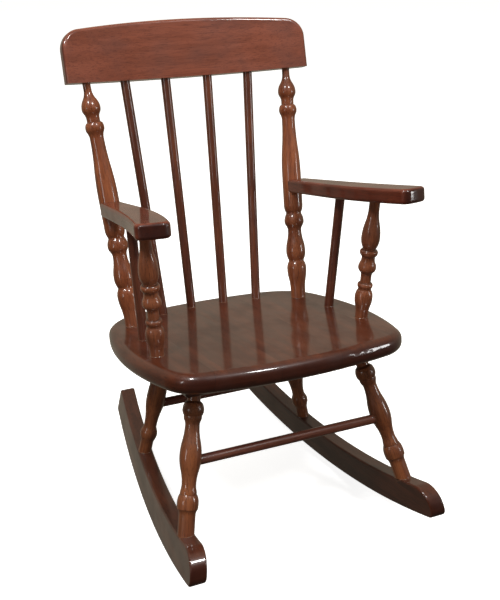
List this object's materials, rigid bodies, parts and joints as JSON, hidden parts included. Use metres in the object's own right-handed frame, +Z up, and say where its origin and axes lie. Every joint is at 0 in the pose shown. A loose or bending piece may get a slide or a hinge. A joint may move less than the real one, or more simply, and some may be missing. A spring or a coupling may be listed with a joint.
{
  "type": "rocking chair",
  "caption": "Child-size spindle-back rocking chair in turned, stained and lacquered hardwood, with flat arms, an arched crest rail, a plank seat and curved rockers.",
  "frame": {"origin": "on the floor, under the middle of the whole chair's box; the rockers touch the floor 28 mm behind it", "axes": "+Z up; the sitter faces -Y; +X is to the right of a person who looks along +Y, which is the sitter's left"},
  "size_m": [0.4356, 0.5542, 0.717],
  "materials": {
    "seat_wood": "cherry-red stain under gloss lacquer",
    "turned_wood": "orange-brown stain under gloss lacquer",
    "rod_wood": "red-brown stain under gloss lacquer",
    "crest_wood": "cherry-red stain under gloss lacquer",
    "arm_wood": "cherry-red stain under gloss lacquer",
    "rocker_wood": "dark red-brown stain under gloss lacquer",
    "cleat_wood": "dark red-brown stain, satin",
    "dowel_wood": "bare birch, glued in",
    "screw_steel": "zinc-plated"
  },
  "bodies": {
    "root": {"seat": "seat_wood", "front_cleat": "cleat_wood", "front_stretcher": "rod_wood", "rear_cleat": "cleat_wood", "rear_stretcher": "rod_wood", "left_back_post": "turned_wood", "left_arm_post": "turned_wood", "left_front_leg": "turned_wood", "left_rear_leg": "turned_wood", "left_arm_rod": "rod_wood", "left_arm": "arm_wood", "left_rocker": "rocker_wood", "right_back_post": "turned_wood", "right_arm_post": "turned_wood", "right_front_leg": "turned_wood", "right_rear_leg": "turned_wood", "right_arm_rod": "rod_wood", "right_arm": "arm_wood", "right_rocker": "rocker_wood", "back_spindle_1": "rod_wood", "back_spindle_2": "rod_wood", "back_spindle_3": "rod_wood", "back_spindle_4": "rod_wood", "crest_rail": "crest_wood", "arm_dowels": "dowel_wood", "cleat_screws": "screw_steel", "rocker_screws": "screw_steel"}
  },
  "joints": []
}
